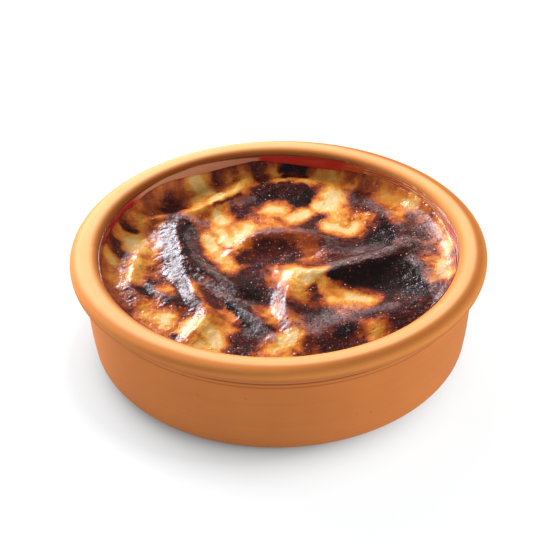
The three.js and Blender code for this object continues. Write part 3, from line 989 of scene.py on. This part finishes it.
def makeSkinMaterial():
    material, nodes = newMaterial("bakedSkin")
    span, times, timesPlus = nodes.span, nodes.times, nodes.timesPlus
    place = nodes.place()
    brown, film, streak = nodes.attribute("brown"), nodes.attribute("film"), nodes.attribute("streak")
    cloud = nodes.cloud(place, 420.0, 5.0, 0.65)
    fine = nodes.cloud(place, 1500.0, 2.0, 0.65)
    grain = addGrain(nodes, 2400.0, 1400.0, 0.42, 1.6)
    bubbles = addGrain(nodes, 900.0, 760.0, 0.3, 1.0)
    level = timesPlus(nodes.minus(cloud, 0.5), 0.32, brown)
    level = timesPlus(nodes.minus(fine, 0.5), 0.2, level)
    # small bubbles that baked paler in the dark skin
    inDark = span(brown, 0.5, 0.75)
    level = timesPlus(times(bubbles["Pits"], inDark), -0.2, level)
    toasted = nodes.ramp(level, crust["tones"])
    # the grey film, partly a real dry film that dulls the skin and partly a painted sheen, lies in strands
    # and grains
    veined = span(streak, -0.3, 0.3, 0.3, 1.4)
    dusty = span(nodes.cloud(place, 1800.0, 2.0, 0.7), 0.42, 0.62, 0.0, 1.5)
    filmSheen = nodes.mix(times(film, veined, times(dusty, 0.5)), toasted, crust["film"])
    # painted shade: pits in the brown skin are darkened almost to black
    inPits = times(grain["Pits"], span(brown, 0.45, 0.8))
    height = timesPlus(fine, 1.2, grain["Height"])
    height = timesPlus(cloud, 1.8, height)
    height = timesPlus(bubbles["Pits"], 1.6, height)
    rough = timesPlus(film, 0.26, span(cloud, 0.3, 0.7, 0.14, 0.22))
    nodes.surface({
        "Base Color": nodes.mix(inPits, filmSheen, crust["pit"]),
        "Roughness": timesPlus(grain["Pits"], 0.6, rough),
        "Normal": nodes.bump(height, 0.4, 0.00016),
        "Coat Weight": 0.15,
        "Coat Roughness": 0.08,
    })
    return material


def makePudding():
    unitX, unitY, faces, border = discGrid(skin["steps"])
    edge = cavityRadius(skin["level"]) - dish["glazeThickness"] + skin["sideInGlaze"]
    x, y = unitX * edge, unitY * edge
    height, streak = skinShape(x, y)
    # the border follows the glaze up the wall and reaches just into it
    reach = np.ones(len(x))
    reach[border] = (glazeFace(height[border]) + skin["intoGlaze"]) / edge
    points = [np.stack([x * reach, y * reach, height], 1)]
    # down the side and round under, then in to the middle
    side = cavitySection(puddingFloor - dish["cavityFloor"], skin["level"] - 2, 2, 4)[:-1]
    side[:1, 0] = edge
    turns = len(border)
    direction = np.arctan2(unitY[border], unitX[border])
    rings = [border]
    for radius, level in side:
        rings.append(len(x) + (len(rings) - 1) * turns + np.arange(turns))
        ring = radius * np.cos(direction), radius * np.sin(direction), np.full(turns, level)
        points.append(np.stack(ring, 1))
    points = np.vstack(points + [[(0, 0, puddingFloor)]])
    for upper, lower in zip(rings, rings[1:]):
        faces += np.stack([np.roll(upper, -1), upper, lower, np.roll(lower, -1)], 1).tolist()
    middle = np.full(turns, len(points) - 1)
    faces += np.stack([np.roll(rings[-1], -1), rings[-1], middle], 1).tolist()
    hidden = np.zeros(len(points) - len(x))
    values = {
        "brown": np.concatenate([brownness(x, y), hidden + 0.1]),
        "film": np.concatenate([sheenFilmCover(x, y), hidden]),
        "streak": np.concatenate([streak, hidden]),
    }
    piece = meshPiece("bakedPudding", points, faces, makeSkinMaterial(), values)
    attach(piece, "root")
    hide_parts("pudding")
    return piece


pudding = makePudding()
print("pudding with", len(pudding.data.polygons), "faces")

# tiny domes of burst rice milk all over the dark skin
blister = {
    "density": 700000.0,
    "smallest": 0.08,
    "largest": 0.3,
    "rarity": 2.5,
    "flatness": 0.55,
    "seed": 7,
    "clearOfWall": 2.2,
    "tones": [
        (0.0, (0.03, 0.008, 0.006)),
        (0.5, (0.12, 0.022, 0.009)),
        (0.78, (0.34, 0.12, 0.05)),
        # partly a paler bubble top and partly a painted glint
        (0.93, (0.8, 0.55, 0.4)),
    ],
}


def makeBlisterMaterial():
    material, nodes = newMaterial("blister")
    grain = addGrain(nodes, 4000.0, 3000.0, 0.1, 1.0)
    level = nodes.timesPlus(nodes.minus(grain["Mottle"], 0.5), 0.3, nodes.attribute("tint"))
    nodes.surface({
        "Base Color": nodes.ramp(level, blister["tones"]),
        "Roughness": 0.11,
        "Normal": nodes.bump(grain["Height"], 0.1, 0.00002),
    })
    return material


def makeBlisterTree():
    # domes of many sizes, scattered where the attribute says they are likely
    inputs = ["Geometry", "Density", "Smallest", "Largest", "Rarity", "Flatness", "Seed", "Material"]
    tree, nodes, given, result = newGroup("blisters", "GeometryNodeTree", inputs, ["Geometry"])
    likely = nodes.add("GeometryNodeInputNamedAttribute", {"Name": "blistered"}, data_type="FLOAT")
    density = nodes.times(likely, given["Density"])
    inputs = {"Mesh": given["Geometry"], "Density": density, "Seed": given["Seed"]}
    points = nodes.add("GeometryNodeDistributePointsOnFaces", inputs).outputs
    tint = nodes.add("FunctionNodeRandomValue", {"Seed": given["Seed"]}, data_type="FLOAT").outputs[1]
    inputs = {"Geometry": points["Points"], "Name": "tint", "Value": tint}
    tinted = nodes.add("GeometryNodeStoreNamedAttribute", inputs, data_type="FLOAT", domain="POINT")
    nextSeed = nodes.plus(given["Seed"], 1)
    chance = nodes.add("FunctionNodeRandomValue", {"Seed": nextSeed}, data_type="FLOAT").outputs[1]
    spread = nodes.minus(given["Largest"], given["Smallest"])
    size = nodes.timesPlus(nodes.math("POWER", chance, given["Rarity"]), spread, given["Smallest"])
    ball = nodes.add("GeometryNodeMeshIcoSphere", {"Radius": 1.0, "Subdivisions": 2})
    smoothed = nodes.add("GeometryNodeSetShadeSmooth", {"Geometry": ball})
    placed = nodes.add("GeometryNodeInstanceOnPoints", {
        "Points": tinted,
        "Instance": smoothed,
        "Rotation": points["Rotation"],
        "Scale": nodes.vector(size, size, nodes.times(size, given["Flatness"])),
    })
    real = nodes.add("GeometryNodeRealizeInstances", {"Geometry": placed})
    done = nodes.add("GeometryNodeSetMaterial", {"Geometry": real, "Material": given["Material"]})
    nodes.put(result["Geometry"], done)
    return tree


def makeBlisters(skinPiece):
    # they grow on the dark skin, away from the wall and from the sides below it
    mesh = skinPiece.data
    place = np.empty(len(mesh.vertices) * 3)
    mesh.vertices.foreach_get("co", place)
    x, y, z = place.reshape(-1, 3).T / mm
    brown = np.empty(len(mesh.vertices))
    mesh.attributes["brown"].data.foreach_get("value", brown)
    likely = smooth(brown, 0.3, 0.75) * (1 - 0.6 * smooth(brown, 0.86, 0.97))
    likely = likely * (np.hypot(x, y) < puddingRadius - blister["clearOfWall"])
    likely *= (z > skin["level"] - 3) * smooth(noise(x, y, 5, 91), 0.15, 0.7)
    ground = bpy.data.objects.new("blisters", mesh.copy())
    blistered = ground.data.attributes.new("blistered", "FLOAT", "POINT")
    blistered.data.foreach_set("value", likely.astype(np.float32))
    bpy.context.scene.collection.objects.link(ground)
    piece = grown(ground, makeBlisterTree(), {
        "Density": blister["density"],
        "Smallest": blister["smallest"] * mm,
        "Largest": blister["largest"] * mm,
        "Rarity": blister["rarity"],
        "Flatness": blister["flatness"],
        "Seed": blister["seed"],
        "Material": makeBlisterMaterial(),
    })
    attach(piece, "root")
    return piece


blisters = makeBlisters(pudding)
print("blisters with", len(blisters.data.polygons), "faces")
